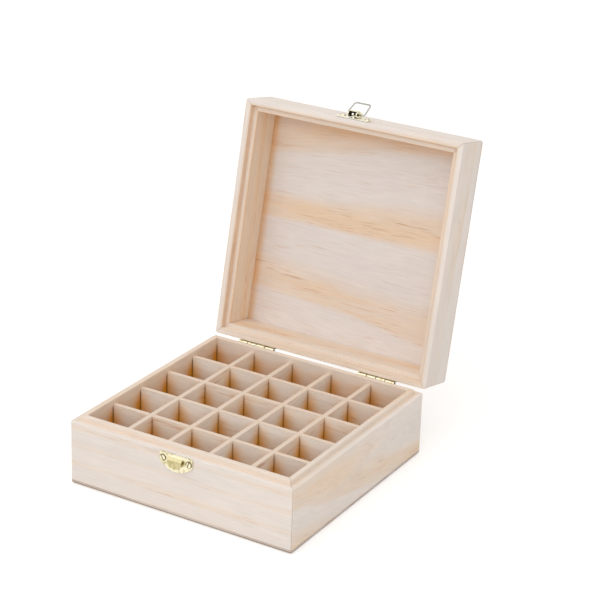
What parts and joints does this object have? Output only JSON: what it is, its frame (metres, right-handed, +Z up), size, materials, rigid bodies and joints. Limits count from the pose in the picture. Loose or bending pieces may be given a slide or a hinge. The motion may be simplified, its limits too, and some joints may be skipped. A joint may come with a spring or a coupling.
{
  "type": "essential oil storage box",
  "caption": "Square pine box with a hinged lid, an egg-crate divider for small bottles and a brass toggle catch.",
  "frame": {"origin": "middle of the underside of the base", "axes": "+X to the right along the front, +Y to the back, where the hinges are, +Z up"},
  "size_m": [0.185, 0.2624, 0.2397],
  "materials": {
    "pine": "bare sanded pine, pale, with straight grain along each board",
    "plywood": "bare plywood, darker and greyer at its rounded edge",
    "divider_wood": "bare sanded thin boards, pale with warm shadows",
    "brass": "bright pale brass plate",
    "steel_wire": "bright grey wire"
  },
  "bodies": {
    "base": {"base_front_wall": "pine", "base_right_wall": "pine", "base_back_wall": "pine", "base_left_wall": "pine", "bottom_panel": "plywood", "lengthwise_divider_1": "divider_wood", "lengthwise_divider_2": "divider_wood", "lengthwise_divider_3": "divider_wood", "lengthwise_divider_4": "divider_wood", "crosswise_divider_1": "divider_wood", "crosswise_divider_2": "divider_wood", "crosswise_divider_3": "divider_wood", "crosswise_divider_4": "divider_wood", "left_hinge_base_leaf": "brass", "left_hinge_pin": "brass", "right_hinge_base_leaf": "brass", "right_hinge_pin": "brass", "strike_plate": "brass"},
    "lid": {"lid_front_wall": "pine", "lid_right_wall": "pine", "lid_back_wall": "pine", "lid_left_wall": "pine", "lid_panel": "pine", "left_hinge_lid_leaf": "brass", "right_hinge_lid_leaf": "brass", "catch_plate": "brass", "catch_pin": "brass"},
    "lever": {"catch_lever": "brass"},
    "loop": {"wire_loop": "steel_wire"}
  },
  "joints": [
    {"name": "lid_hinge", "type": "hinge", "parent": "base", "child": "lid", "pos_m": [0, 0.0943, 0.04915], "axis": [1, 0, 0], "range_deg": [0, 102]},
    {"name": "lever_hinge", "type": "hinge", "parent": "lid", "child": "lever", "pos_m": [-0.0013, 0.13697, 0.23473], "axis": [1, 0, 0], "range_deg": [0, 155]},
    {"name": "loop_hinge", "type": "hinge", "parent": "lever", "child": "loop", "pos_m": [-0.0013, 0.14055, 0.23377], "axis": [-1, 0, 0], "range_deg": [-150, 46]}
  ]
}
